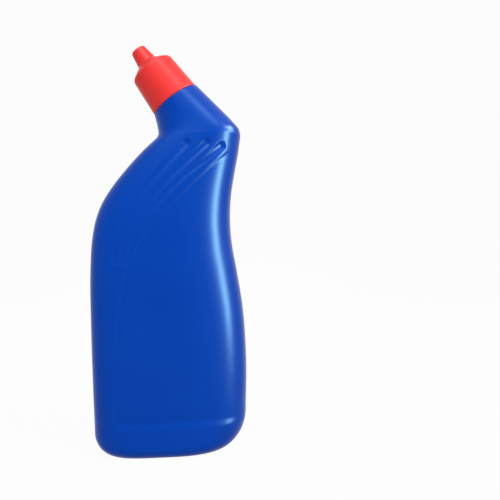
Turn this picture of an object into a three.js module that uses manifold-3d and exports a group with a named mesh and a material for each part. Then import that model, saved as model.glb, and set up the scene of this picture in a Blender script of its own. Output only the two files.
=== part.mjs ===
import * as THREE from 'three';
import { mergeVertices } from 'three/addons/utils/BufferGeometryUtils.js';
import ManifoldModule from 'manifold-3d';

// Toilet cleaner bottle, in mm. Origin at the middle of the base, +Z up,
// front face to -Y, bent neck leaning to -X, grip side to +X.

// Body outline seen from the front: [z, x] from the corner arcs up to the bend
const BACK_OUTLINE = [
  [13, -44.6], [40, -44.6], [75, -44.2], [105, -43.2], [122, -41.7], [133, -39.3],
  [142, -35.6], [150.6, -30], [160.5, -21.7], [170.5, -12], [178, -3.4],
];
const GRIP_OUTLINE = [
  [22, 41], [45, 42.3], [62, 42.4], [80, 41.6], [100, 39.2], [116, 37],
  [129, 36.5], [143, 37.6], [157, 40.3], [168, 42.8], [178, 44.6],
];
const BACK_FLAT_X = -30;
const GRIP_FLAT_X = 22;
const BASE_EDGE = 6;
// [z, half depth, squareness of the back half, squareness of the grip half]
const DEPTH = [
  [0, 24.2, 4, 2.8], [60, 24.2, 4, 2.8], [105, 23.8, 4, 2.8],
  [130, 22.6, 3.6, 2.7], [150, 20.8, 3.2, 2.6], [178, 18, 2.8, 2.5],
];
const BODY_LEVELS = [
  0, 0.4, 1.5, 3.2, 5.6, 9, 13, 19, 30, 45, 60, 75, 90, 103, 114, 124, 133, 141, 149, 157, 164, 171, 178,
];
const WALL = 1.3;

// Bent neck: the ledge under the cap is a circle square to the tilted neck axis
const NECK_TILT = THREE.MathUtils.degToRad(34);
const LEDGE_CENTRE = [8.05, 199.9];
const LEDGE_STEP = 0.55;
const LEDGE_EDGE = 0.9;
const BEND_INNER = [[0.25, -2.4, 180.4], [0.6, -2.9, 185]];
const BEND_OUTER = [[0.15, 44, 181.7], [0.32, 40.8, 186], [0.65, 32.8, 195]];
const BEND_LEVELS = [0.08, 0.16, 0.26, 0.38, 0.52, 0.68, 0.84, 1];
const BEND_THINNING = 0.9;

// Base: a shallow push-up inside a flat standing ring
const STANDING_RING = 6;
const PUSH_UP = 1.8;
const PUSH_UP_SLOPE = [[0, 0], [1.2, 0.75], [4, 1]];
const PUSH_UP_SQUARE = [3, 2.6];

// Neck finish, radii and lengths along the neck axis above the ledge
const CLEARANCE = 0.3;
const ROOT_R = 10.6;
const ROOT_FILLET = 1.1;
const ROOT_SINK = 1;
const NECK_WALL = 1.4;
const FINISH_H = 14;
const FINISH_EDGE = 0.6;
const LIP_STEP = 1.8;
const LIP_LENGTH = 5.8;
const LIP_WALL = 1.5;
const BORE_DROP = 5.3;

// Screw thread, right-handed, shared by the neck and the cap: rib widths at crest and foot
const LEAD = 3.2;
const THREAD_TURNS = 1.75;
const THREAD_START_H = 4.6;
const THREAD_DEPTH = 1.2;
const NECK_RIB = { crest: 1, foot: 2 };
const CAP_RIB = { crest: 0.6, foot: 1.3 };
const THREAD_STEPS = 32;
const THREAD_RUN_OUT = 4;
const THREAD_END_SHARE = 0.15;
const THREAD_ROOTING = 0.4;

// Three finger grooves on each face: centre line [x, z], then radius and depth at each end.
// They get shallow soon below their tops, and all stop at one level.
const GROOVES = [
  [[14.7, 172.4], [0.7, 158.3], [-10.8, 145.8], [-18.7, 134.2], [-24, 124.1], [-26.6, 113], [-27.4, 105]],
  [[25.9, 172.2], [16.5, 163.7], [4.8, 153.1], [-4.6, 143.1], [-12.6, 132.1], [-19.1, 121.2], [-24.8, 105]],
  [[34, 170.3], [26, 163.7], [14.4, 155.3], [4.2, 146], [-4.5, 136.8], [-12.5, 125.9], [-21.9, 105]],
];
const GROOVE_TOP = { radius: 3.2, depth: 1.15 };
const GROOVE_END = { radius: 1.9, depth: 0.5 };
const GROOVE_FALL = 0.09;
const GROOVE_STOP_Z = 106.8;
const GROOVE_NOSE = [75, 50, 25];
const GROOVE_STEPS = 9;
const GROOVE_SIDES = 12;
const GROOVE_THINNING = 0.2;

// Label panel on each face, sunk a little; it fades out towards the grip side
const PANEL_EDGE = [
  [60, 18.2], [60, 160], [37, 167], [28.8, 160], [14.5, 146.8], [4.3, 137.2], [-5.7, 127.4],
  [-13.8, 116.8], [-19.8, 106.3], [-24, 92.8], [-27, 74.4], [-29.2, 55.9], [-30.6, 33.4], [-30.8, 24],
];
const PANEL_CORNER = 4;
const PANEL_DEPTH = 0.6;
const PANEL_FADE = 0.25;

// Cap: skirt, shoulder and narrow tip
const CAP_WALL = 2.55;
const CAP_GAP = 0.4;
const CAP_MOUTH = 0.8;
const CAP_DRAFT = 1.7;
const CAP_SHOULDER_FILLET = 2.3;
const CAP_BORE_H = 15.5;
const CAP_SEAT = 1.6;
const CAP_SEAT_H = 3.3;
const TIP_FOOT_R = 5.9;
const TIP_FOOT_H = 4.6;
const TIP_FOOT_FILLET = 1.8;
const TIP_R = 4.35;
const TIP_LENGTH = 9.3;
const TIP_FILLET = 0.9;
const TIP_WALL = 1.8;
const RIM_FILLET = 0.3;

// Pour insert pressed into the lip, and the sealing ring in the cap
const INSERT_FIT = 0.2;
const INSERT_FLANGE = 1.3;
const INSERT_EDGE = 0.7;
const INSERT_WALL = 1;
const INSERT_SLEEVE = 6.5;
const INSERT_FLOOR_DROP = 3;
const ORIFICE_R = 2.2;
const SEAL_FIT = 0.4;
const SEAL_WIDTH = 4.6;
const SEAL_THICK = 0.9;

const COLUMNS = 40;
const CAVITY_COLUMNS = 28;
const ROUND = 48;
const SMALL_ROUND = 36;
const ARC_STEPS = 4;
const SMALLEST_EDGE = 0.02;
const BEYOND = 10;

// Fits between the neck, the insert, the seal and the cap
const rootR = ROOT_R + 3 * ROOT_FILLET;
const threadR = ROOT_R + THREAD_DEPTH;
const lipR = ROOT_R - LIP_STEP;
const neckBoreR = ROOT_R - NECK_WALL;
const lipBoreR = lipR - LIP_WALL;
const lipH = FINISH_H + LIP_LENGTH;
const flangeH = lipH + CLEARANCE;
const insertTopH = flangeH + INSERT_FLANGE;
const sealH = insertTopH + CLEARANCE;
const ceilingH = sealH + SEAL_THICK + CLEARANCE;
const capBoreR = threadR + CLEARANCE;
const capRibR = ROOT_R + CLEARANCE;
const capSeatR = lipR + CAP_SEAT;
const skirtR = capBoreR + CAP_WALL;
const ledgeR = skirtR + LEDGE_STEP;

const wasm = await ManifoldModule();
wasm.setup();

const neckAxis = [-Math.sin(NECK_TILT), Math.cos(NECK_TILT)];
const neckAcross = [Math.cos(NECK_TILT), Math.sin(NECK_TILT)];

function toSolid(geometry) {
  const bare = geometry.index ? geometry.toNonIndexed() : geometry.clone();
  bare.deleteAttribute('normal');
  bare.deleteAttribute('uv');
  const merged = mergeVertices(bare, 1e-5);
  return new wasm.Manifold(new wasm.Mesh({
    numProp: 3,
    vertProperties: new Float32Array(merged.attributes.position.array),
    triVerts: new Uint32Array(merged.index.array),
  }));
}

function toMesh(solid, name, colour) {
  const data = solid.asOriginal().simplify(SMALLEST_EDGE).getMesh();
  const geometry = new THREE.BufferGeometry();
  geometry.setAttribute('position', new THREE.BufferAttribute(data.vertProperties, 3));
  geometry.setIndex(new THREE.BufferAttribute(data.triVerts, 1));
  geometry.computeVertexNormals();
  const mesh = new THREE.Mesh(geometry, new THREE.MeshStandardMaterial({ color: colour, roughness: 0.4 }));
  mesh.name = name;
  return mesh;
}

// Smooth curve through rows of [t, value, ...], giving the values at any t
function curveThrough(rows) {
  const spans = rows.slice(1).map((row, i) => row[0] - rows[i][0]);
  const rates = spans.map((span, i) => rows[i].slice(1).map((v, k) => (rows[i + 1][k + 1] - v) / span));
  const slopes = rows.map((row, i) => {
    if (i === 0) return rates[0];
    if (i === spans.length) return rates[i - 1];
    const sum = spans[i] + spans[i - 1];
    return rates[i].map((rate, k) => (rates[i - 1][k] * spans[i] + rate * spans[i - 1]) / sum);
  });
  return (t) => {
    let i = 0;
    while (i < spans.length - 1 && t > rows[i + 1][0]) i += 1;
    const span = spans[i];
    const u = (t - rows[i][0]) / span;
    const [u2, u3] = [u * u, u * u * u];
    return rows[i].slice(1).map((v, k) => (2 * u3 - 3 * u2 + 1) * v
      + (u3 - 2 * u2 + u) * span * slopes[i][k]
      + (3 * u2 - 2 * u3) * rows[i + 1][k + 1]
      + (u3 - u2) * span * slopes[i + 1][k]);
  };
}

const backAt = curveThrough(BACK_OUTLINE);
const gripAt = curveThrough(GRIP_OUTLINE);
const depthAt = curveThrough(DEPTH);

// Outline x at height z, with an elliptical corner below the first outline point
function sideX(z, curve, [cornerZ, cornerX], flatX) {
  if (z >= cornerZ) return curve(z)[0];
  const u = (cornerZ - z) / cornerZ;
  return flatX + (cornerX - flatX) * Math.sqrt(1 - u * u);
}

// Half depth at height z, with the rounded lower edge moved in by inset
function halfDepth(z, inset) {
  const full = depthAt(Math.max(z, 0))[0];
  if (z >= BASE_EDGE) return full - inset;
  const rise = Math.min(BASE_EDGE - z, BASE_EDGE - inset);
  return full - BASE_EDGE + Math.sqrt((BASE_EDGE - inset) ** 2 - rise * rise);
}

function alongNeck(across, height) {
  return [0, 1].map((k) => LEDGE_CENTRE[k] + neckAcross[k] * across + neckAxis[k] * height);
}

// Cross-sections from base to ledge: two outline points, half depth, squareness of each half
function bodySections() {
  const sections = BODY_LEVELS.map((z) => {
    const [, back, grip] = depthAt(z);
    return {
      back: [sideX(z, backAt, BACK_OUTLINE[0], BACK_FLAT_X), z],
      grip: [sideX(z, gripAt, GRIP_OUTLINE[0], GRIP_FLAT_X), z],
      half: halfDepth(z, 0),
      square: [back, grip],
    };
  });
  const last = sections[sections.length - 1];
  const innerAt = curveThrough([[0, ...last.back], ...BEND_INNER, [1, ...alongNeck(-ledgeR, -LEDGE_EDGE)]]);
  const outerAt = curveThrough([[0, ...last.grip], ...BEND_OUTER, [1, ...alongNeck(ledgeR, -LEDGE_EDGE)]]);
  BEND_LEVELS.forEach((t) => {
    const ease = t * t * (3 - 2 * t);
    sections.push({
      back: innerAt(t),
      grip: outerAt(t),
      half: last.half + (ledgeR - last.half) * t ** BEND_THINNING,
      square: last.square.map((n) => n + (2 - n) * ease),
    });
  });
  return sections;
}

function ledgeSections() {
  return [30, 60, 90].map((degrees) => {
    const angle = THREE.MathUtils.degToRad(degrees);
    const radius = ledgeR - LEDGE_EDGE * (1 - Math.cos(angle));
    const height = -LEDGE_EDGE * (1 - Math.sin(angle));
    return { back: alongNeck(-radius, height), grip: alongNeck(radius, height), half: radius, square: [2, 2] };
  });
}

// The same sections moved inwards by inset, square to the outline
function insetSections(sections, inset) {
  const last = sections.length - 1;
  const move = (side, i, sign) => {
    const here = sections[i][side];
    if (i === 0) return [here[0], here[1] + inset];
    if (i === last) return [here[0] - sign * inset * neckAcross[0] - inset * neckAxis[0],
      here[1] - sign * inset * neckAcross[1] - inset * neckAxis[1]];
    const [before, after] = [sections[i - 1][side], sections[i + 1][side]];
    const run = [after[0] - before[0], after[1] - before[1]];
    const length = Math.hypot(...run);
    return [here[0] - sign * inset * run[1] / length, here[1] + sign * inset * run[0] / length];
  };
  return sections.map((section, i) => {
    const back = move('back', i, -1);
    const grip = move('grip', i, 1);
    const z = (back[1] + grip[1]) / 2;
    const half = z < BASE_EDGE ? halfDepth(z, inset) : section.half - inset;
    return { back, grip, half, square: section.square };
  });
}

function sectionRing(section, columns) {
  const { back, grip, half, square } = section;
  return Array.from({ length: columns }, (_, j) => {
    const angle = 2 * Math.PI * j / columns;
    const n = Math.cos(angle) > 0 ? square[1] : square[0];
    const u = Math.sign(Math.cos(angle)) * Math.abs(Math.cos(angle)) ** (2 / n);
    const v = Math.sign(Math.sin(angle)) * Math.abs(Math.sin(angle)) ** (2 / n);
    return [
      (back[0] + grip[0] + (grip[0] - back[0]) * u) / 2,
      half * v,
      (back[1] + grip[1] + (grip[1] - back[1]) * u) / 2,
    ];
  });
}

// Solid through closed rings of equal length, with flat fans at both ends
function loft(rings) {
  const columns = rings[0].length;
  const middle = (ring) => [0, 1, 2].map((k) => ring.reduce((sum, p) => sum + p[k], 0) / columns);
  const points = [...rings.flat(), middle(rings[0]), middle(rings[rings.length - 1])];
  const top = (rings.length - 1) * columns;
  const faces = [];
  for (let j = 0; j < columns; j += 1) {
    const k = (j + 1) % columns;
    for (let i = 0; i < top; i += columns) {
      faces.push(i + j, i + k, i + columns + k, i + j, i + columns + k, i + columns + j);
    }
    faces.push(points.length - 2, k, j, points.length - 1, top + j, top + k);
  }
  const geometry = new THREE.BufferGeometry();
  geometry.setAttribute('position', new THREE.Float32BufferAttribute(points.flat(), 3));
  geometry.setIndex(faces);
  return toSolid(geometry);
}

// Points of an outline whose [radius, height, fillet] corners are rounded where a fillet is given
function rounded(corners) {
  return corners.flatMap(([x, y, fillet], i) => {
    const corner = new THREE.Vector2(x, y);
    if (!fillet) return [corner];
    const [before, after] = [i - 1, i + 1].map((k) => {
      const [nextX, nextY] = corners[(k + corners.length) % corners.length];
      return new THREE.Vector2(nextX, nextY).sub(corner);
    });
    const half = before.angleTo(after) / 2;
    const room = 0.49 * Math.min(before.length(), after.length());
    const reach = Math.min(fillet / Math.tan(half), room);
    const start = corner.clone().addScaledVector(before.normalize(), reach);
    const end = corner.clone().addScaledVector(after.normalize(), reach);
    const middle = corner.clone().addScaledVector(before.add(after).normalize(), reach / Math.cos(half));
    const turn = Math.PI - 2 * half;
    return Array.from({ length: ARC_STEPS + 1 }, (_, k) => {
      const share = k / ARC_STEPS;
      return middle.clone()
        .addScaledVector(start.clone().sub(middle), Math.sin((1 - share) * turn) / Math.sin(turn))
        .addScaledVector(end.clone().sub(middle), Math.sin(share * turn) / Math.sin(turn));
    });
  });
}

// Turned solid on the neck axis; the outline closes on itself or on the axis
function turned(corners, segments) {
  const points = rounded(corners);
  const geometry = new THREE.LatheGeometry([...points, points[0].clone()], segments);
  geometry.rotateX(Math.PI / 2);
  return placeOnNeck(toSolid(geometry));
}

function placeOnNeck(solid) {
  return solid.rotate([0, -THREE.MathUtils.radToDeg(NECK_TILT), 0])
    .translate([LEDGE_CENTRE[0], 0, LEDGE_CENTRE[1]]);
}

// Screw rib from footR to crestR, rooted in the wall; its ends run down to the wall
function screwRib(footR, crestR, { crest, foot }, startH) {
  const steps = Math.round(THREAD_TURNS * THREAD_STEPS);
  const sink = Math.sign(footR - crestR) * THREAD_ROOTING;
  const rings = Array.from({ length: steps + 1 }, (_, i) => {
    const angle = 2 * Math.PI * i / THREAD_STEPS;
    const height = startH + LEAD * i / THREAD_STEPS;
    const run = Math.min(i, steps - i) / THREAD_RUN_OUT;
    const tip = footR + (crestR - footR) * Math.min(1, THREAD_END_SHARE + run);
    const corners = [[footR + sink, foot / 2], [footR, foot / 2], [tip, crest / 2]];
    const section = [...corners, ...corners.reverse().map(([radius, half]) => [radius, -half])];
    return section.map(([radius, half]) => [
      radius * Math.cos(angle), radius * Math.sin(angle), height + half,
    ]);
  });
  return placeOnNeck(loft(crestR < footR ? rings.map((ring) => [...ring].reverse()) : rings));
}

const sections = bodySections();

// Front or back surface y at a point of the outline plane, side is -1 or 1
function faceY(x, z, side) {
  const back = sideX(z, backAt, BACK_OUTLINE[0], BACK_FLAT_X);
  const grip = sideX(z, gripAt, GRIP_OUTLINE[0], GRIP_FLAT_X);
  const [half, backSquare, gripSquare] = depthAt(z);
  const u = (2 * x - back - grip) / (grip - back);
  const n = u > 0 ? gripSquare : backSquare;
  return side * half * (1 - Math.abs(u) ** n) ** (1 / n);
}

// Round-ended tool along a groove, grown by grow
function grooveTool(line, side, grow) {
  const lengths = line.map((p, i) => (i ? Math.hypot(p[0] - line[i - 1][0], p[1] - line[i - 1][1]) : 0));
  let total = 0;
  const rows = line.map((p, i) => {
    total += lengths[i];
    return [total, ...p];
  });
  const at = curveThrough(rows.map(([s, ...p]) => [s / total, ...p]));
  const ends = GROOVE_NOSE.map((degrees) => Math.sin(THREE.MathUtils.degToRad(degrees)));
  const stops = [
    ...ends.map((e) => [0, -e]),
    ...Array.from({ length: GROOVE_STEPS + 1 }, (_, i) => [i / GROOVE_STEPS, 0]),
    ...[...ends].reverse().map((e) => [1, e]),
  ];
  const rings = stops.map(([t, cap]) => {
    const [x, z] = at(t);
    const [nearX, nearZ] = at(Math.min(1, t + 0.01));
    const [farX, farZ] = at(Math.max(0, t - 0.01));
    const length = Math.hypot(nearX - farX, nearZ - farZ);
    const along = [(nearX - farX) / length, (nearZ - farZ) / length];
    const radius = GROOVE_TOP.radius + (GROOVE_END.radius - GROOVE_TOP.radius) * t;
    const depth = GROOVE_END.depth + (GROOVE_TOP.depth - GROOVE_END.depth) * Math.exp(-t / GROOVE_FALL);
    const y = faceY(x, z, side) + side * (radius - depth);
    const reach = (radius + grow) * cap;
    const size = (radius + grow) * Math.sqrt(1 - cap * cap);
    return Array.from({ length: GROOVE_SIDES }, (_, j) => {
      const angle = 2 * Math.PI * j / GROOVE_SIDES;
      const across = size * Math.cos(angle);
      return [
        x + along[0] * reach - along[1] * across,
        y - size * Math.sin(angle),
        z + along[1] * reach + along[0] * across,
      ];
    });
  });
  return loft(rings);
}

function groovesFor(grow) {
  const tools = [-1, 1].flatMap((side) => GROOVES.map((line) => grooveTool(line, side, grow)));
  return wasm.Manifold.union(tools).trimByPlane([0, 0, 1], GROOVE_STOP_Z - grow);
}

// Sunk panel: the region inside the panel edge, above a copy of the body shifted inwards
function panelTool(shell, side) {
  const shape = new THREE.Shape();
  const [start, ...rest] = PANEL_EDGE;
  shape.moveTo(...start);
  rest.forEach((p) => shape.lineTo(...p));
  const [cornerX] = PANEL_EDGE[PANEL_EDGE.length - 1];
  shape.quadraticCurveTo(cornerX, start[1], cornerX + PANEL_CORNER, start[1]);
  const depth = DEPTH[0][1] + BEYOND;
  const geometry = new THREE.ExtrudeGeometry(shape, { depth, bevelEnabled: false, curveSegments: ARC_STEPS });
  geometry.rotateX(Math.PI / 2);
  if (side > 0) geometry.translate(0, depth, 0);
  return toSolid(geometry).subtract(shell.translate([PANEL_FADE, -side * PANEL_DEPTH, 0]));
}

// Plug for the push-up; margin is its distance from the edge of the base
function pushUpTool(margin, top) {
  const ring = (inset, z) => sectionRing({
    back: [BACK_FLAT_X + inset, z],
    grip: [GRIP_FLAT_X - inset, z],
    half: sections[0].half - inset,
    square: PUSH_UP_SQUARE,
  }, CAVITY_COLUMNS);
  const slope = PUSH_UP_SLOPE.map(([inset, share]) => ring(margin + inset, top * share));
  return loft([ring(margin, -BEYOND), ...slope]);
}

function makeBottle() {
  const outer = loft([...sections, ...ledgeSections()].map((s) => sectionRing(s, COLUMNS)));
  const finish = turned([
    [0, -ROOT_SINK], [rootR, -ROOT_SINK], [rootR, -SMALLEST_EDGE], [ROOT_R, -SMALLEST_EDGE, ROOT_FILLET],
    [ROOT_R, FINISH_H, FINISH_EDGE], [lipR, FINISH_H, FINISH_EDGE / 2], [lipR, lipH], [0, lipH],
  ], ROUND);
  const thread = screwRib(ROOT_R, threadR, NECK_RIB, THREAD_START_H);
  const panels = wasm.Manifold.union(panelTool(outer, -1), panelTool(outer, 1));
  const cavity = loft(insetSections(sections, WALL).map((s) => sectionRing(s, CAVITY_COLUMNS)))
    .subtract(groovesFor(WALL - GROOVE_THINNING))
    .subtract(pushUpTool(STANDING_RING - WALL, PUSH_UP + WALL));
  const bore = turned([
    [0, -BORE_DROP], [neckBoreR, -BORE_DROP], [neckBoreR, FINISH_H - NECK_WALL - LIP_STEP / 2],
    [lipBoreR, FINISH_H - NECK_WALL + LIP_STEP / 2], [lipBoreR, lipH + BEYOND], [0, lipH + BEYOND],
  ], SMALL_ROUND);
  return outer.subtract(groovesFor(0)).subtract(panels).add(finish).add(thread)
    .subtract(pushUpTool(STANDING_RING, PUSH_UP))
    .subtract(cavity.add(bore));
}

function makeCap() {
  const tipH = ceilingH + TIP_FOOT_H + TIP_LENGTH;
  const shell = turned([
    [0, CAP_GAP], [skirtR, CAP_GAP, RIM_FILLET], [skirtR - CAP_DRAFT, ceilingH, CAP_SHOULDER_FILLET],
    [TIP_FOOT_R, ceilingH + TIP_FOOT_H, TIP_FOOT_FILLET], [TIP_R, tipH, TIP_FILLET], [0, tipH],
  ], ROUND);
  const hollow = turned([
    [0, -BEYOND], [capBoreR + CAP_MOUTH, -BEYOND], [capBoreR + CAP_MOUTH, CAP_GAP],
    [capBoreR, CAP_GAP + CAP_MOUTH], [capBoreR, CAP_BORE_H], [capSeatR, ceilingH - CAP_SEAT_H],
    [capSeatR, ceilingH], [TIP_FOOT_R - TIP_WALL, ceilingH], [TIP_R - TIP_WALL, tipH - TIP_WALL],
    [0, tipH - TIP_WALL],
  ], ROUND);
  return shell.subtract(hollow).add(screwRib(capBoreR, capRibR, CAP_RIB, THREAD_START_H - LEAD / 2));
}

function makeInsert() {
  const sleeveR = lipBoreR - INSERT_FIT;
  const boreR = sleeveR - INSERT_WALL;
  const sleeveH = flangeH - INSERT_SLEEVE;
  const floorH = insertTopH - INSERT_FLOOR_DROP;
  return turned([
    [sleeveR, sleeveH], [sleeveR, flangeH], [lipR, flangeH], [lipR, insertTopH, INSERT_EDGE],
    [boreR, insertTopH], [boreR, floorH], [ORIFICE_R, floorH], [ORIFICE_R, floorH - INSERT_WALL],
    [boreR, floorH - INSERT_WALL], [boreR, sleeveH],
  ], SMALL_ROUND);
}

function makeSeal() {
  const outer = capSeatR - SEAL_FIT;
  const inner = outer - SEAL_WIDTH;
  const top = sealH + SEAL_THICK;
  return turned([[inner, sealH], [outer, sealH], [outer, top], [inner, top]], SMALL_ROUND);
}

const group = new THREE.Group();
group.name = 'toilet_cleaner_bottle';
group.add(toMesh(makeBottle(), 'bottle', 0x0b48b0));
group.add(toMesh(makeCap(), 'cap', 0xf04848));
group.add(toMesh(makeInsert(), 'pour_insert', 0x2a5fc0));
group.add(toMesh(makeSeal(), 'cap_seal', 0xf0f0ec));

export default group;
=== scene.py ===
import math

import bpy
import numpy as np
from mathutils import Matrix, Vector


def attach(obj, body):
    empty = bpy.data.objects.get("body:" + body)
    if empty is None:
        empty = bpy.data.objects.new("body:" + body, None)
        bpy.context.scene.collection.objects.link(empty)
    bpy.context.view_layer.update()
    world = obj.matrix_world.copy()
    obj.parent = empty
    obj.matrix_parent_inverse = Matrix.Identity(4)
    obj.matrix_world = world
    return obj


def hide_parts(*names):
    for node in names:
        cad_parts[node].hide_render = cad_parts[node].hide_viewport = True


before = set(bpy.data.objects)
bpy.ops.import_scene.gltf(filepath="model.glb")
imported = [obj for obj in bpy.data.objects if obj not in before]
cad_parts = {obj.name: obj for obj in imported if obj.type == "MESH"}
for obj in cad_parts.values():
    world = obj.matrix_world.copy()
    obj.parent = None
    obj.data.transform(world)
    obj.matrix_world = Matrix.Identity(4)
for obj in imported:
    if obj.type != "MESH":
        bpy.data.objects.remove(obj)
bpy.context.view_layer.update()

# Shape values are in mm, as the part is drawn; meshes are made in metres.
MM = 0.001

# Body outline seen from the front: [z, x] from the corner arcs up to the bend
BACK_OUTLINE = [
    [13, -44.6], [40, -44.6], [75, -44.2], [105, -43.2], [122, -41.7], [133, -39.3],
    [142, -35.6], [150.6, -30.0], [160.5, -21.7], [170.5, -12], [178, -3.4],
]
GRIP_OUTLINE = [
    [22, 41.0], [45, 42.3], [62, 42.4], [80, 41.6], [100, 39.2], [116, 37.0],
    [129, 36.5], [143, 37.6], [157, 40.3], [168, 42.8], [178, 44.6],
]
BACK_FLAT_X = -30
GRIP_FLAT_X = 22
BASE_EDGE = 6

# Body sections: [z, half depth, squareness of the back half, squareness of the grip half]
DEPTH = [
    [0, 24.2, 4, 2.8], [60, 24.2, 4, 2.8], [105, 23.8, 4, 2.8],
    [130, 22.6, 3.6, 2.7], [150, 20.8, 3.2, 2.6], [178, 18, 2.8, 2.5],
]

# Bent neck: its ledge, the two edges that bend up to it as [share of the way, x, z], and their round end
NECK_TILT = math.radians(34)
LEDGE_CENTRE = np.array([8.05, 199.9])
LEDGE_R = 15.2
LEDGE_EDGE = 0.9
BEND_INNER = [[0.25, -2.4, 180.4], [0.6, -2.9, 185]]
BEND_OUTER = [[0.15, 44.0, 181.7], [0.32, 40.8, 186.0], [0.65, 32.8, 195]]
BEND_POWER = 0.9
ROUND = 2

# Wall; the hidden inner surface lies deeper by the room that the grooves and panels take
WALL = 1.3
RELIEF_ROOM = 1.2

# Base: a flat ring to stand on round a push-up, as [distance in from its rim, share of its height]
STANDING_RING = 6
PUSH_UP = 1.8
PUSH_UP_SQUARENESS = (3, 2.6)
PUSH_UP_LEAST_DEPTH = 2.5
PUSH_UP_CURVE = [[16, 1], [9, 1], [4, 0.97], [2.6, 0.93], [1.6, 0.75], [0.9, 0.5], [0.4, 0.22], [0, 0]]

# Neck finish: radii, and heights above the ledge
LEDGE_INNER_R = 13.6
ROOT_R = 10.6
ROOT_H = 14
LIP_R = 8.8
LIP_H = 19.8
LIP_BORE_R = 7.3
LIP_BORE_FOOT_H = 13.3
NECK_BORE_R = 9.2
NECK_BORE_H = (-0.6, 11.4)

# Screw thread, right-handed, shared by the neck and the cap
LEAD = 3.2
THREAD_TURNS = 1.75
THREAD_START_H = 4.6
THREAD_R = 11.8
THREAD_CREST = 1.0
THREAD_FOOT = 2.0
CAP_BORE_R = 12.1
CAP_THREAD_R = 10.95
CAP_THREAD_CREST = 0.6
CAP_THREAD_FOOT = 1.3
THREAD_RUN_OUT = math.radians(45)

# Cap: its lower edge and ceilings, as heights above the ledge, and the least radius at its axis
CAP_EDGE_H = 0.15
CAP_CEILING_H = 22.9
TIP_CEILING_H = 35
TIP_TOP_H = 36.8
CAP_SEAT_R = 10.4
AXIS_R = 0.05

# Pour insert and sealing ring
SLEEVE_R = LIP_BORE_R - 0.2
SLEEVE_FOOT_H = 13.6
SLEEVE_SPLIT_H = 16
FLANGE_H = 20.1
INSERT_TOP_H = 21.4
FUNNEL_R = 6.1
SPOUT_TOP_H = 21
SPOUT_R = (2.2, 3.3)
FLOOR_H = (17.5, 18.5)
SEAL_R = (5, 9.6)
SEAL_H = (21.7, 22.6)
SEAL_SPLIT_R = 7

# Turned profiles: corners as [radius, height above the ledge, fillet]
NECK_PROFILE = [
    [LEDGE_INNER_R, 0], [ROOT_R, 0, 1.1], [ROOT_R, ROOT_H, 0.6], [LIP_R, ROOT_H, 0.4], [LIP_R, LIP_H, 0.35],
    [LIP_BORE_R, LIP_H, 0.3], [LIP_BORE_R, LIP_BORE_FOOT_H, 0.4], [NECK_BORE_R, NECK_BORE_H[1], 0.6],
    [NECK_BORE_R, NECK_BORE_H[0]],
]
CAP_OUTSIDE = [
    [13.1, CAP_EDGE_H], [14.65, CAP_EDGE_H, 0.35], [12.95, 22.7, 2.3], [5.9, 27.5, 1.8],
    [4.35, TIP_TOP_H, 0.9], [AXIS_R, TIP_TOP_H],
]
CAP_INSIDE = [
    [AXIS_R, TIP_CEILING_H], [2.6, TIP_CEILING_H, 0.8], [3.7, 23.8, 0.5], [4.4, CAP_CEILING_H, 0.3],
    [CAP_SEAT_R, CAP_CEILING_H, 0.4], [CAP_SEAT_R, 19.6, 0.6], [CAP_BORE_R, 15.5, 0.8],
    [CAP_BORE_R, 1.2, 0.2], [12.9, CAP_EDGE_H],
]
INSERT_PROFILE = [
    [SLEEVE_R, SLEEVE_SPLIT_H], [SLEEVE_R, FLANGE_H, 0.15], [LIP_R, FLANGE_H, 0.15],
    [LIP_R, INSERT_TOP_H, 0.7], [FUNNEL_R, INSERT_TOP_H, 0.3], [5.5, FLOOR_H[1], 0.4],
    [SPOUT_R[1], FLOOR_H[1], 0.4], [SPOUT_R[1], SPOUT_TOP_H, 0.2],
    [SPOUT_R[0], SPOUT_TOP_H, 0.2], [SPOUT_R[0], FLOOR_H[0], 0.2], [FUNNEL_R, FLOOR_H[0], 0.4],
    [FUNNEL_R, SLEEVE_FOOT_H, 0.15], [SLEEVE_R, SLEEVE_FOOT_H, 0.15], [SLEEVE_R, SLEEVE_SPLIT_H],
]
SEAL_PROFILE = [
    [SEAL_SPLIT_R, SEAL_H[0]], [SEAL_R[1], SEAL_H[0], 0.2], [SEAL_R[1], SEAL_H[1], 0.2],
    [SEAL_R[0], SEAL_H[1], 0.2], [SEAL_R[0], SEAL_H[0], 0.2], [SEAL_SPLIT_R, SEAL_H[0]],
]

# Three finger grooves on each face: centre line [x, z]
GROOVES = [
    [[14.7, 172.4], [0.7, 158.3], [-10.8, 145.8], [-18.7, 134.2],
     [-24, 124.1], [-26.6, 113], [-27.4, 105]],
    [[25.9, 172.2], [16.5, 163.7], [4.8, 153.1], [-4.6, 143.1],
     [-12.6, 132.1], [-19.1, 121.2], [-24.8, 105]],
    [[34, 170.3], [26, 163.7], [14.4, 155.3], [4.2, 146],
     [-4.5, 136.8], [-12.5, 125.9], [-21.9, 105]],
]
# Groove radius at each end; depth at the top end and further down; share over which it gets shallower
GROOVE_RADII = (3.2, 1.9)
GROOVE_DEPTHS = (1.15, 0.5)
GROOVE_FALL = 0.09
GROOVE_BLEND = 0.02
GROOVE_POINTS = 60
# Where the grooves stop: the height of their lower ends, how softly, and how far a face may turn away
GROOVE_STOP_Z = 106.8
GROOVE_STOP_FADE = 0.9
GROOVE_LEAST_FACING = 0.6

# Label panel on each face: outline [x, z]
PANEL_EDGE = [
    [60, 18.2], [60, 160], [37, 167], [28.8, 160], [14.5, 146.8], [4.3, 137.2], [-5.7, 127.4],
    [-13.8, 116.8], [-19.8, 106.3], [-24, 92.8], [-27, 74.4], [-29.2, 55.9], [-30.6, 33.4],
    [-30.8, 22.2], [-29.6, 19.4], [-26.8, 18.2],
]
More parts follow.
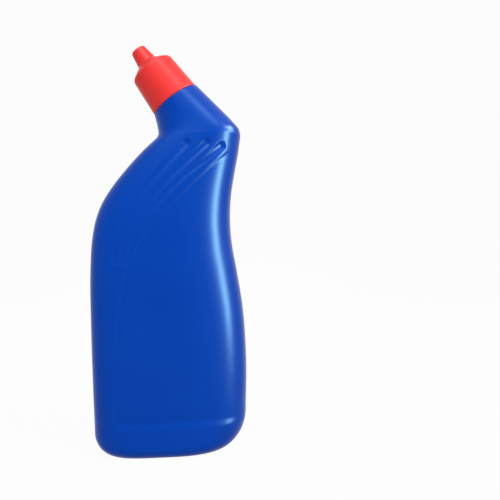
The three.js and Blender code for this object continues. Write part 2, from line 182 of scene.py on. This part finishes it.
# Panel depth, how much it fades towards the grip edge, its bevel, and the deeper band along its foot
PANEL_DEPTH = 0.6
PANEL_FADE = 0.25
PANEL_BEVEL = 1.3
PANEL_FOOT_DEPTH = 0.4
PANEL_FOOT_Z = 19.0
PANEL_FOOT_REACH = 5.0

# Fineness: points round each ring, points used to space them, and the longest steps along profiles
COLUMNS = 256
SPACING_POINTS = 2048
CAP_COLUMNS = 192
RING_COLUMNS = 96
NECK_THREAD_STEP = 0.17
CAP_THREAD_STEP = 0.18
CAP_STEP = 1.6
FILLET_STEPS = 5
CAP_FILLET_STEPS = 9
# The most of an edge that a fillet takes, and a distance that counts as none
FILLET_SHARE = 0.49
TINY = 1e-6

# Rings up the body: closest towards the base, then even runs of (from, to, step)
CORNER_TOP_Z = 24
CORNER_POWER = 1.8
CORNER_RINGS = 26
BODY_RUNS = [(25.2, 104, 1.2), (104.6, 177.6, 0.72)]
BEND_RINGS = 32
CAVITY_CORNER_RINGS = 10
CAVITY_RUNS = [(32, 178, 8)]
CAVITY_BEND_RINGS = 10

# Angle in degrees above which an edge is shaded sharp
SHELL_SHARP = 50
RING_SHARP = 40

# Surroundings: how white the floor is when looked at, and the world's light on matt surfaces
FLOOR_WHITE = 0.96
WORLD_LIGHT = 0.2
WHITE = (1, 1, 1, 1)

# Lamps in metres and watts: name, place, aim, size, power, and whether it lights gloss or matt
LAMPS = [
    ("right_strip", (0.60, -0.33, 0.20), (0.02, 0, 0.14), (0.15, 0.40), 15.5, "gloss"),
    ("edge_strip", (0.56, -0.08, 0.50), (0.03, 0, 0.19), (0.28, 0.26), 11.0, "gloss"),
    ("top_strip", (0.02, -0.34, 0.80), (0.02, 0, 0.03), (0.70, 0.26), 7.0, "gloss"),
    ("key", (-0.15, -0.85, 0.85), (0, 0, 0.10), (0.45, 0.45), 6.0, "matt"),
    ("right_fill", (0.70, -0.50, 0.60), (0, 0, 0.12), (0.40, 0.40), 6.6, "matt"),
    ("left_fill", (-0.85, -0.40, 0.30), (0, 0, 0.12), (0.50, 0.50), 1.3, "matt"),
    ("back_fill", (-0.20, 0.95, 0.70), (0, 0, 0.10), (0.60, 0.60), 6.0, "matt"),
]

# Plastic finish: noise scales, how strongly each shows, and bump distances in metres
DRIFT_SCALE = 14
PALE_SCALE = 31
PALE_SHARE = 0.4
SMEAR_SCALE = 23
SMEAR_SPREAD = 0.025
GRAIN_SCALE = 2600
GRAIN_DEPTH = 0.00005
SEAM_EDGES = (0.00008, 0.00035)
SEAM_DEPTH = 0.0002
PLASTIC_IOR = 1.5

neck_axis = np.array([-math.sin(NECK_TILT), math.cos(NECK_TILT)])
neck_across = np.array([math.cos(NECK_TILT), math.sin(NECK_TILT)])


def curve_through(rows):
    """Smooth curve through rows of [t, value, ...], giving the values at any t."""
    rows = np.asarray(rows, float)
    t, p = rows[:, 0], rows[:, 1:]
    span = np.diff(t)[:, None]
    rate = np.diff(p, axis=0) / span
    inner = (rate[:-1] * span[1:] + rate[1:] * span[:-1]) / (span[1:] + span[:-1])
    slope = np.vstack([rate[:1], inner, rate[-1:]])

    def at(x):
        x = np.atleast_1d(np.asarray(x, float))
        i = np.clip(np.searchsorted(t, x, side="right") - 1, 0, len(t) - 2)
        h = span[i]
        u = ((x - t[i])[:, None]) / h
        return ((2 * u**3 - 3 * u**2 + 1) * p[i] + (u**3 - 2 * u**2 + u) * h * slope[i]
                + (3 * u**2 - 2 * u**3) * p[i + 1] + (u**3 - u**2) * h * slope[i + 1])

    return at


back_at = curve_through(BACK_OUTLINE)
grip_at = curve_through(GRIP_OUTLINE)
depth_at = curve_through(DEPTH)


def side_x(z, curve, corner, flat_x):
    """Outline x at heights z, with an elliptical corner below the first outline point."""
    u = np.clip((corner[0] - z) / corner[0], 0, 1)
    low = flat_x + (corner[1] - flat_x) * np.sqrt(1 - u * u)
    return np.where(z >= corner[0], curve(z)[:, 0], low)


def half_depth(z, inset):
    """Half depth at heights z, with the rounded lower edge."""
    full = depth_at(np.maximum(z, 0))[:, 0]
    rise = np.clip(BASE_EDGE - z, 0, BASE_EDGE - inset)
    rounded = full - BASE_EDGE + np.sqrt((BASE_EDGE - inset) ** 2 - rise * rise)
    return np.where(z >= BASE_EDGE, full - inset, rounded)


def along_neck(across, height):
    return LEDGE_CENTRE + neck_across * across + neck_axis * height


def body_sections(levels, bends):
    """Rows of back x, back z, grip x, grip z, half depth, two squarenesses, from base to ledge."""
    depth = depth_at(levels)
    body = np.column_stack([
        side_x(levels, back_at, BACK_OUTLINE[0], BACK_FLAT_X), levels,
        side_x(levels, grip_at, GRIP_OUTLINE[0], GRIP_FLAT_X), levels,
        half_depth(levels, 0), depth[:, 1], depth[:, 2],
    ])
    last = body[-1]
    inner = curve_through([[0, *last[:2]], *BEND_INNER, [1, *along_neck(-LEDGE_R, -LEDGE_EDGE)]])(bends)
    outer = curve_through([[0, *last[2:4]], *BEND_OUTER, [1, *along_neck(LEDGE_R, -LEDGE_EDGE)]])(bends)
    ease = smooth_step(bends)
    bend = np.column_stack([
        inner, outer, last[4] + (LEDGE_R - last[4]) * bends**BEND_POWER,
        last[5] + (ROUND - last[5]) * ease, last[6] + (ROUND - last[6]) * ease,
    ])
    return np.vstack([body, bend])


def inset_sections(rows, inset):
    """The same sections moved inwards by inset, square to the outline."""
    out = rows.copy()
    for col, sign in ((0, -1), (2, 1)):
        line = rows[:, col:col + 2]
        run = np.gradient(line, axis=0)
        run /= np.linalg.norm(run, axis=1)[:, None]
        out[:, col] -= sign * inset * run[:, 1]
        out[:, col + 1] += sign * inset * run[:, 0]
        out[0, col:col + 2] = line[0] + [0, inset]
        out[-1, col:col + 2] = line[-1] - sign * inset * neck_across - inset * neck_axis
    z = (out[:, 1] + out[:, 3]) / 2
    out[:, 4] = np.where(z < BASE_EDGE, half_depth(z, inset), rows[:, 4] - inset)
    return out


def section_rings(rows):
    """Rings of points at equal steps round each section, and the outward normal across each one."""
    angle = np.linspace(0, 2 * math.pi, SPACING_POINTS + 1)
    c, s = np.cos(angle), np.sin(angle)
    rings, normals = [], []
    for bx, bz, gx, gz, half, back_square, grip_square in rows:
        n = np.where(c > 0, grip_square, back_square)
        u = np.sign(c) * np.abs(c) ** (2 / n)
        v = np.sign(s) * np.abs(s) ** (2 / n)
        width = math.hypot(gx - bx, gz - bz) / 2
        steps = np.hypot(np.diff(u * width), np.diff(v * half))
        length = np.concatenate([[0], np.cumsum(steps)])
        stops = np.linspace(0, length[-1], COLUMNS, endpoint=False)
        uu, vv = np.interp(stops, length, u), np.interp(stops, length, v)
        rings.append(np.column_stack([
            (bx + gx + (gx - bx) * uu) / 2, half * vv, (bz + gz + (gz - bz) * uu) / 2,
        ]))
        n = np.where(uu > 0, grip_square, back_square)
        across = np.sign(uu) * np.abs(uu) ** (n - 1) / width
        out = np.sign(vv) * np.abs(vv) ** (n - 1) / half
        size = np.hypot(across, out)
        normals.append(np.column_stack([across, out]) / size[:, None])
    return np.array(rings), np.array(normals)


def distance_to_line(points, line):
    """Distance of each [x, z] point to a polyline, and how far along it the nearest place is, 0 to 1."""
    line = np.asarray(line, float)
    seg = np.diff(line, axis=0)
    seg_length = np.linalg.norm(seg, axis=1)
    start = np.concatenate([[0], np.cumsum(seg_length)])
    best = np.full(len(points), np.inf)
    place = np.zeros(len(points))
    for a, d, length, s in zip(line[:-1], seg, seg_length, start):
        t = np.clip(((points - a) @ d) / length**2, 0, 1)
        gap = np.linalg.norm(points - a - t[:, None] * d, axis=1)
        closer = gap < best
        best = np.where(closer, gap, best)
        place = np.where(closer, (s + t * length) / start[-1], place)
    return best, place


def inside(points, outline):
    """Which [x, z] points are inside a closed outline."""
    found = np.zeros(len(points), bool)
    x, z = points[:, 0], points[:, 1]
    for (ax, az), (bx, bz) in zip(outline, outline[1:] + outline[:1]):
        if az == bz:
            continue
        crosses = (az > z) != (bz > z)
        found ^= crosses & (x < ax + (bx - ax) * (z - az) / (bz - az))
    return found


def smooth_step(x):
    x = np.clip(x, 0, 1)
    return x * x * (3 - 2 * x)


def groove_depth(points):
    """Depth of the finger grooves at each [x, z] point."""
    depth = np.zeros(len(points))
    for line in GROOVES:
        line = np.asarray(line, float)
        length = np.concatenate([[0], np.cumsum(np.linalg.norm(np.diff(line, axis=0), axis=1))])
        shares = np.linspace(0, 1, GROOVE_POINTS)
        fine = curve_through(np.column_stack([length / length[-1], line]))(shares)
        gap, place = distance_to_line(points, fine)
        radius = GROOVE_RADII[0] + (GROOVE_RADII[1] - GROOVE_RADII[0]) * place
        deep = GROOVE_DEPTHS[1] + (GROOVE_DEPTHS[0] - GROOVE_DEPTHS[1]) * np.exp(-place / GROOVE_FALL)
        cut = np.sqrt(np.maximum(radius**2 - gap**2, 0)) - (radius - deep)
        depth = np.maximum(depth, 0.5 * (cut + np.sqrt(cut * cut + GROOVE_BLEND)))
    return depth * smooth_step((points[:, 1] - GROOVE_STOP_Z) / GROOVE_STOP_FADE)


def panel_share(points):
    """How far inside the label panel each [x, z] point is, 0 outside to 1 past its bevel."""
    gap, _ = distance_to_line(points, PANEL_EDGE + PANEL_EDGE[:1])
    signed = np.where(inside(points, PANEL_EDGE), gap, -gap)
    return smooth_step(signed / PANEL_BEVEL + 0.5)


def sink_relief(rings, normals, count):
    """Sinks the grooves and the panels into the first count rings."""
    flat = rings[:count].reshape(-1, 3)
    across = normals[:count].reshape(-1, 2)
    points = flat[:, [0, 2]]
    facing = np.abs(across[:, 1])
    near_foot = np.exp(-((points[:, 1] - PANEL_FOOT_Z) / PANEL_FOOT_REACH) ** 2)
    deep = PANEL_DEPTH + PANEL_FOOT_DEPTH * near_foot
    panel = panel_share(points) * np.maximum(0, deep * facing - PANEL_FADE * across[:, 0])
    grooves = groove_depth(points) * smooth_step(facing / GROOVE_LEAST_FACING)
    sunk = np.maximum(panel, grooves)
    flat[:, 0] -= across[:, 0] * sunk
    flat[:, 1] -= across[:, 1] * sunk
    rings[:count] = flat.reshape(count, -1, 3)
    return rings


def rounded(corners, steps=FILLET_STEPS):
    """Polyline through [radius, height, fillet] corners with each fillet as an arc."""
    pts = [np.array(c[:2], float) for c in corners]
    out = [pts[0]]
    for i in range(1, len(pts) - 1):
        fillet = corners[i][2] if len(corners[i]) > 2 else 0
        if not fillet:
            out.append(pts[i])
            continue
        a, b = pts[i - 1] - pts[i], pts[i + 1] - pts[i]
        la, lb = np.linalg.norm(a), np.linalg.norm(b)
        a, b = a / la, b / lb
        half = math.acos(np.clip(a @ b, -1, 1)) / 2
        reach = min(fillet / math.tan(half), FILLET_SHARE * la, FILLET_SHARE * lb)
        radius = reach * math.tan(half)
        middle = pts[i] + (a + b) / np.linalg.norm(a + b) * radius / math.sin(half)
        start, end = pts[i] + a * reach - middle, pts[i] + b * reach - middle
        turn = math.pi - 2 * half
        for k in range(steps + 1):
            w = k / steps
            arc = math.sin((1 - w) * turn) * start + math.sin(w * turn) * end
            out.append(middle + arc / math.sin(turn))
    out.append(pts[-1])
    return np.array(out)


def refine(profile, longest):
    """Adds points so that no step of the profile is longer than longest."""
    out = [profile[0]]
    for a, b in zip(profile[:-1], profile[1:]):
        n = max(1, math.ceil(np.linalg.norm(b - a) / longest))
        out += [a + (b - a) * k / n for k in range(1, n + 1)]
    return np.array(out)


def refine_thread(points, threaded, thread_step, plain_step):
    """Refines a profile, with its own step where threaded(a, b) holds between two points."""
    out = points[:1]
    for a, b in zip(points[:-1], points[1:]):
        step = thread_step if threaded(a, b) else plain_step
        out = np.vstack([out, refine([a, b], step)[1:]])
    return out


def neck_rings(profile, columns=COLUMNS, bulge=None):
    """Rings round the neck axis; bulge(angle, radius, height) adds to the radius."""
    angle = np.linspace(0, 2 * math.pi, columns, endpoint=False)
    rings = []
    for radius, height in profile:
        r = np.full(columns, float(radius))
        if bulge is not None:
            r = r + bulge(angle, radius, height)
        centre = along_neck(0, height)
        rings.append(np.column_stack([
            centre[0] + neck_across[0] * r * np.cos(angle),
            r * np.sin(angle),
            centre[1] + neck_across[1] * r * np.cos(angle),
        ]))
    return np.array(rings)


def screw_rib(angle, height, start, rise, foot, crest):
    """How far a screw rib stands out at each angle, at one height."""
    out = np.zeros_like(angle)
    for turn in range(math.ceil(THREAD_TURNS)):
        along = angle + 2 * math.pi * turn
        off = np.abs(height - start - LEAD * along / (2 * math.pi))
        side = smooth_step((foot / 2 - off) / (foot / 2 - crest / 2))
        end = 2 * math.pi * THREAD_TURNS
        run = np.minimum(along, end - along) / THREAD_RUN_OUT
        out = np.maximum(out, rise * side * smooth_step(run) * (along <= end))
    return out


def thread_on(wall_r, rib_r, start, foot, crest):
    """Bulge that raises a screw rib from the wall at wall_r, outwards or inwards to rib_r."""
    outwards = math.copysign(1, rib_r - wall_r)

    def bulge(angle, radius, height):
        if abs(radius - wall_r) > TINY:
            return 0
        return outwards * screw_rib(angle, height, start, abs(rib_r - wall_r), foot, crest)

    return bulge


def make_object(name, rings, body, node, sharp, closed=False):
    """Mesh object through rings, with a fan at each end, or joined end to end if closed."""
    count, columns = rings.shape[:2]
    verts = rings.reshape(-1, 3) * MM
    j = np.arange(columns)
    k = (j + 1) % columns
    faces = []
    for i in range(count if closed else count - 1):
        a, b = i * columns, (i + 1) % count * columns
        faces += np.column_stack([a + j, a + k, b + k, b + j]).tolist()
    if not closed:
        verts = np.vstack([verts, rings[0].mean(0) * MM, rings[-1].mean(0) * MM])
        low, high, top = count * columns, count * columns + 1, (count - 1) * columns
        faces += [[low, b, a] for a, b in zip(j.tolist(), k.tolist())]
        faces += [[high, top + a, top + b] for a, b in zip(j.tolist(), k.tolist())]
    mesh = bpy.data.meshes.new(name)
    mesh.from_pydata(verts.tolist(), [], faces)
    mesh.validate()
    mesh.shade_smooth()
    mesh.set_sharp_from_angle(angle=math.radians(sharp))
    obj = bpy.data.objects.new(name, mesh)
    bpy.context.scene.collection.objects.link(obj)
    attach(obj, body)
    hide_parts(node)
    return obj


def push_up_rings(base, margin, low, top):
    """Rings of the push-up under the base, from its middle to its rim."""
    rows = []
    for reach, share in PUSH_UP_CURVE:
        inset, z = margin + reach, low + (top - low) * share
        half = max(base[4] - inset, PUSH_UP_LEAST_DEPTH)
        rows.append([BACK_FLAT_X + inset, z, GRIP_FLAT_X - inset, z, half, *PUSH_UP_SQUARENESS])
    return section_rings(np.array(rows))[0]


def body_levels(corner_rings, runs):
    """Heights of the body's rings, from the base up to the bend."""
    corner = np.linspace(0, 1, corner_rings) ** CORNER_POWER * CORNER_TOP_Z
    return np.concatenate([corner, *(np.arange(*run) for run in runs), [BACK_OUTLINE[-1][0]]])


def make_bottle():
    """The blown body: push-up, outside, ledge, neck, then the inside back down to the floor."""
    levels = body_levels(CORNER_RINGS, BODY_RUNS)
    rows = body_sections(levels, np.linspace(0, 1, BEND_RINGS)[1:])
    rings, normals = section_rings(rows)
    body = sink_relief(rings, normals, len(levels))
    arc = np.radians([15, 30, 45, 60, 75, 90])
    ledge = np.column_stack([LEDGE_R - LEDGE_EDGE * (1 - np.cos(arc)), -LEDGE_EDGE * (1 - np.sin(arc))])
    finish = refine_thread(
        rounded(NECK_PROFILE), lambda a, b: a[0] == ROOT_R and b[1] >= a[1], NECK_THREAD_STEP, math.inf)
    thread = thread_on(ROOT_R, THREAD_R, THREAD_START_H, THREAD_FOOT, THREAD_CREST)

    inset = WALL + RELIEF_ROOM
    cavity_rows = body_sections(
        body_levels(CAVITY_CORNER_RINGS, CAVITY_RUNS), np.linspace(0, 1, CAVITY_BEND_RINGS)[1:])
    cavity = section_rings(inset_sections(cavity_rows, inset))[0][::-1]
    under = push_up_rings(rows[0], STANDING_RING, 0, PUSH_UP)
    floor = push_up_rings(rows[0], STANDING_RING - WALL, inset, PUSH_UP + inset)[::-1]
    neck = neck_rings(finish, bulge=thread)
    rings = np.concatenate([under, body, neck_rings(ledge), neck, cavity, floor])
    return make_object("bottle_body", rings, "bottle", "bottle", SHELL_SHARP)


def make_cap():
    """The screw cap: its outside from the lower edge to the tip, then the inside back down."""
    outside = refine(rounded(CAP_OUTSIDE, CAP_FILLET_STEPS), CAP_STEP)
    inside_line = refine_thread(
        rounded(CAP_INSIDE), lambda a, b: max(abs(a[0] - CAP_BORE_R), abs(b[0] - CAP_BORE_R)) < TINY,
        CAP_THREAD_STEP, CAP_STEP)
    start = THREAD_START_H - LEAD / 2
    thread = thread_on(CAP_BORE_R, CAP_THREAD_R, start, CAP_THREAD_FOOT, CAP_THREAD_CREST)
    rings = np.concatenate([
        neck_rings(outside, CAP_COLUMNS), neck_rings(inside_line, CAP_COLUMNS, thread),
    ])
    return make_object("cap_body", rings, "cap", "cap", SHELL_SHARP)


def make_insert():
    rings = neck_rings(rounded(INSERT_PROFILE)[:-1], RING_COLUMNS)
    return make_object(
        "pour_insert_body", rings, "bottle", "pour_insert", RING_SHARP, closed=True)


def make_seal():
    rings = neck_rings(rounded(SEAL_PROFILE)[:-1], RING_COLUMNS)
    return make_object("cap_seal_ring", rings, "seal", "cap_seal", RING_SHARP, closed=True)


def srgb(*channels):
    """0 to 255 display values as a linear colour."""
    values = [c / 255 for c in channels]
    return tuple(v / 12.92 if v <= 0.04045 else ((v + 0.055) / 1.055) ** 2.4 for v in values) + (1,)


class Nodes:
    """Shorthand for building the nodes of one material or world."""

    def __init__(self, owner, output):
        owner.use_nodes = True
        self.owner = owner
        self.tree = owner.node_tree
        self.tree.nodes.clear()
        self.output = self.add(output)

    @classmethod
    def material(cls, name):
        n = cls(bpy.data.materials.new(name), "ShaderNodeOutputMaterial")
        n.place = n.add("ShaderNodeTexCoord").outputs["Object"]
        return n

    def add(self, kind, inputs=None, **settings):
        node = self.tree.nodes.new(kind)
        for key, value in settings.items():
            setattr(node, key, value)
        for key, value in (inputs or {}).items():
            if isinstance(value, bpy.types.NodeSocket):
                self.tree.links.new(value, node.inputs[key])
            else:
                node.inputs[key].default_value = value
        return node

    def noise(self, scale, detail=0.0):
        found = self.add("ShaderNodeTexNoise", {"Vector": self.place, "Scale": scale, "Detail": detail})
        return found.outputs["Fac"]

    def remap(self, value, low, high, to_low, to_high):
        found = self.add("ShaderNodeMapRange", {
            "Value": value, "From Min": low, "From Max": high, "To Min": to_low, "To Max": to_high,
        })
        return found.outputs["Result"]

    def math(self, operation, *values):
        found = self.add("ShaderNodeMath", dict(enumerate(values)), operation=operation)
        return found.outputs[0]

    def mix(self, share, first, second):
        found = self.add("ShaderNodeMix", data_type="RGBA")
        for key, value in ((0, share), (6, first), (7, second)):
            if isinstance(value, bpy.types.NodeSocket):
                self.tree.links.new(value, found.inputs[key])
            else:
                found.inputs[key].default_value = value
        return found.outputs[2]

    def bump(self, height, strength, distance, under=None):
        inputs = {"Height": height, "Strength": strength, "Distance": distance}
        if under is not None:
            inputs["Normal"] = under
        return self.add("ShaderNodeBump", inputs).outputs["Normal"]

    def looked_at(self):
        """1 for a camera, glossy or transmission ray, and 0 for a ray that lights something."""
        path = self.add("ShaderNodeLightPath")
        seen = self.math("MAXIMUM", path.outputs["Is Camera Ray"], path.outputs["Is Glossy Ray"])
        return self.math("MAXIMUM", seen, path.outputs["Is Transmission Ray"])

    def finish(self, shader):
        self.tree.links.new(shader.outputs[0], self.output.inputs["Surface"])
        return self.owner


def plastic(name, colour, deep, pale, rough, sheen, tint=WHITE, seam=0.0, grain=0.05):
    """Moulded plastic: slow colour drift, a fine grain, faint smears and, if asked, a mould seam."""
    n = Nodes.material(name)
    base = n.mix(n.noise(DRIFT_SCALE), deep, colour)
    base = n.mix(n.math("MULTIPLY", n.noise(PALE_SCALE), PALE_SHARE), base, pale)
    smears = n.remap(n.noise(SMEAR_SCALE), 0, 1, rough - SMEAR_SPREAD, rough + SMEAR_SPREAD)
    normal = n.bump(n.noise(GRAIN_SCALE), grain, GRAIN_DEPTH)
    if seam:
        split = n.add("ShaderNodeSeparateXYZ", {0: n.place})
        off = n.math("ABSOLUTE", split.outputs["Y"])
        ridge = n.remap(off, *SEAM_EDGES, 1, 0)
        normal = n.bump(ridge, seam, SEAM_DEPTH, normal)
    shader = n.add("ShaderNodeBsdfPrincipled", {
        "Base Color": base, "Roughness": smears, "Normal": normal,
        "IOR": PLASTIC_IOR, "Specular IOR Level": sheen, "Specular Tint": tint,
    })
    return n.finish(shader)


def paint(obj, material):
    obj.data.materials.clear()
    obj.data.materials.append(material)


def backdrop_material():
    """Pale floor: white where it is looked at or reflected, with the shadow still showing."""
    speck_scale, speck_detail, darkest, palest = 300, 3, 0.50, 0.54
    n = Nodes.material("pale_floor")
    speck = n.remap(n.noise(speck_scale, speck_detail), 0, 1, darkest, palest)
    tint = n.add("ShaderNodeCombineColor", {0: speck, 1: speck, 2: speck}).outputs[0]
    matt = n.add("ShaderNodeBsdfDiffuse", {"Color": tint})
    white = n.add("ShaderNodeEmission", {"Color": WHITE, "Strength": 1.0})
    share = n.math("MULTIPLY", n.looked_at(), FLOOR_WHITE)
    return n.finish(n.add("ShaderNodeMixShader", {0: share, 1: matt.outputs[0], 2: white.outputs[0]}))


def make_floor():
    """Flat floor that curves up into a wall behind, in metres."""
    reach, wall_y, bend, high = 2.5, 0.9, 0.6, 2.5
    turns = np.radians(np.arange(10, 91, 10))
    profile = [(-reach, 0.0), (wall_y, 0.0)]
    profile += [(wall_y + bend * math.sin(a), bend * (1 - math.cos(a))) for a in turns]
    profile += [(wall_y + bend, high)]
    verts = [(side * reach, y, z) for y, z in profile for side in (-1, 1)]
    faces = [(2 * i, 2 * i + 1, 2 * i + 3, 2 * i + 2) for i in range(len(profile) - 1)]
    mesh = bpy.data.meshes.new("floor")
    mesh.from_pydata(verts, [], faces)
    mesh.shade_smooth()
    obj = bpy.data.objects.new("floor", mesh)
    bpy.context.scene.collection.objects.link(obj)
    paint(obj, backdrop_material())


def area_light(name, place, aim, size, watts, lights):
    """Area lamp that lights either gloss, to make a highlight, or matt surfaces, to fill."""
    light = bpy.data.lights.new(name, "AREA")
    light.shape = "RECTANGLE"
    light.size, light.size_y = size
    light.energy = watts
    obj = bpy.data.objects.new(name, light)
    obj.location = place
    obj.rotation_euler = (Vector(aim) - Vector(place)).to_track_quat("-Z", "Y").to_euler()
    obj.visible_camera = False
    obj.visible_glossy = lights == "gloss"
    obj.visible_diffuse = lights == "matt"
    bpy.context.scene.collection.objects.link(obj)


def make_world():
    """White world where it is looked at or reflected, and dim where it lights the object."""
    world = bpy.data.worlds.new("studio")
    bpy.context.scene.world = world
    n = Nodes(world, "ShaderNodeOutputWorld")
    dim = n.add("ShaderNodeBackground", {"Color": WHITE, "Strength": WORLD_LIGHT})
    white = n.add("ShaderNodeBackground", {"Color": WHITE, "Strength": 1.0})
    n.finish(n.add("ShaderNodeMixShader", {0: n.looked_at(), 1: dim.outputs[0], 2: white.outputs[0]}))


def make_camera():
    """A near camera, level with the middle of the bottle, rolled so that the bottle leans a little."""
    distance = 0.36
    centre_x, centre_z = 0.04735, 0.11187
    mm_per_pixel = 0.58
    image_width = 500
    roll = math.radians(2.5)
    camera = bpy.data.cameras.new("camera")
    camera.sensor_width = 36
    camera.lens = camera.sensor_width * distance / MM / mm_per_pixel / image_width
    camera.clip_start = 0.01
    obj = bpy.data.objects.new("camera", camera)
    right = Vector((math.cos(roll), 0, -math.sin(roll)))
    up = Vector((math.sin(roll), 0, math.cos(roll)))
    back = Vector((0, -1, 0))
    turn = Matrix((right, up, back)).transposed().to_4x4()
    turn.translation = Vector((centre_x, -distance, centre_z))
    obj.matrix_world = turn
    bpy.context.scene.collection.objects.link(obj)
    bpy.context.scene.camera = obj


make_camera()
paint(make_bottle(), plastic(
    "blue_plastic", colour=srgb(0, 61, 168), deep=srgb(0, 55, 160), pale=srgb(1, 68, 176),
    rough=0.31, sheen=0.17, tint=(0.36, 0.82, 1, 1), seam=0.5))
paint(make_cap(), plastic(
    "red_plastic", colour=srgb(230, 54, 52), deep=srgb(223, 47, 45), pale=srgb(237, 66, 63),
    rough=0.36, sheen=0.13, grain=0.06))
paint(make_insert(), plastic(
    "insert_blue", colour=srgb(10, 78, 192), deep=srgb(8, 70, 182), pale=srgb(20, 92, 202),
    rough=0.34, sheen=0.25))
paint(make_seal(), plastic(
    "white_foam", colour=srgb(232, 231, 224), deep=srgb(222, 221, 212), pale=srgb(240, 240, 236),
    rough=0.6, sheen=0.3, grain=0.3))
make_floor()
for lamp in LAMPS:
    area_light(*lamp)
make_world()
bpy.context.scene.view_settings.view_transform = "Standard"
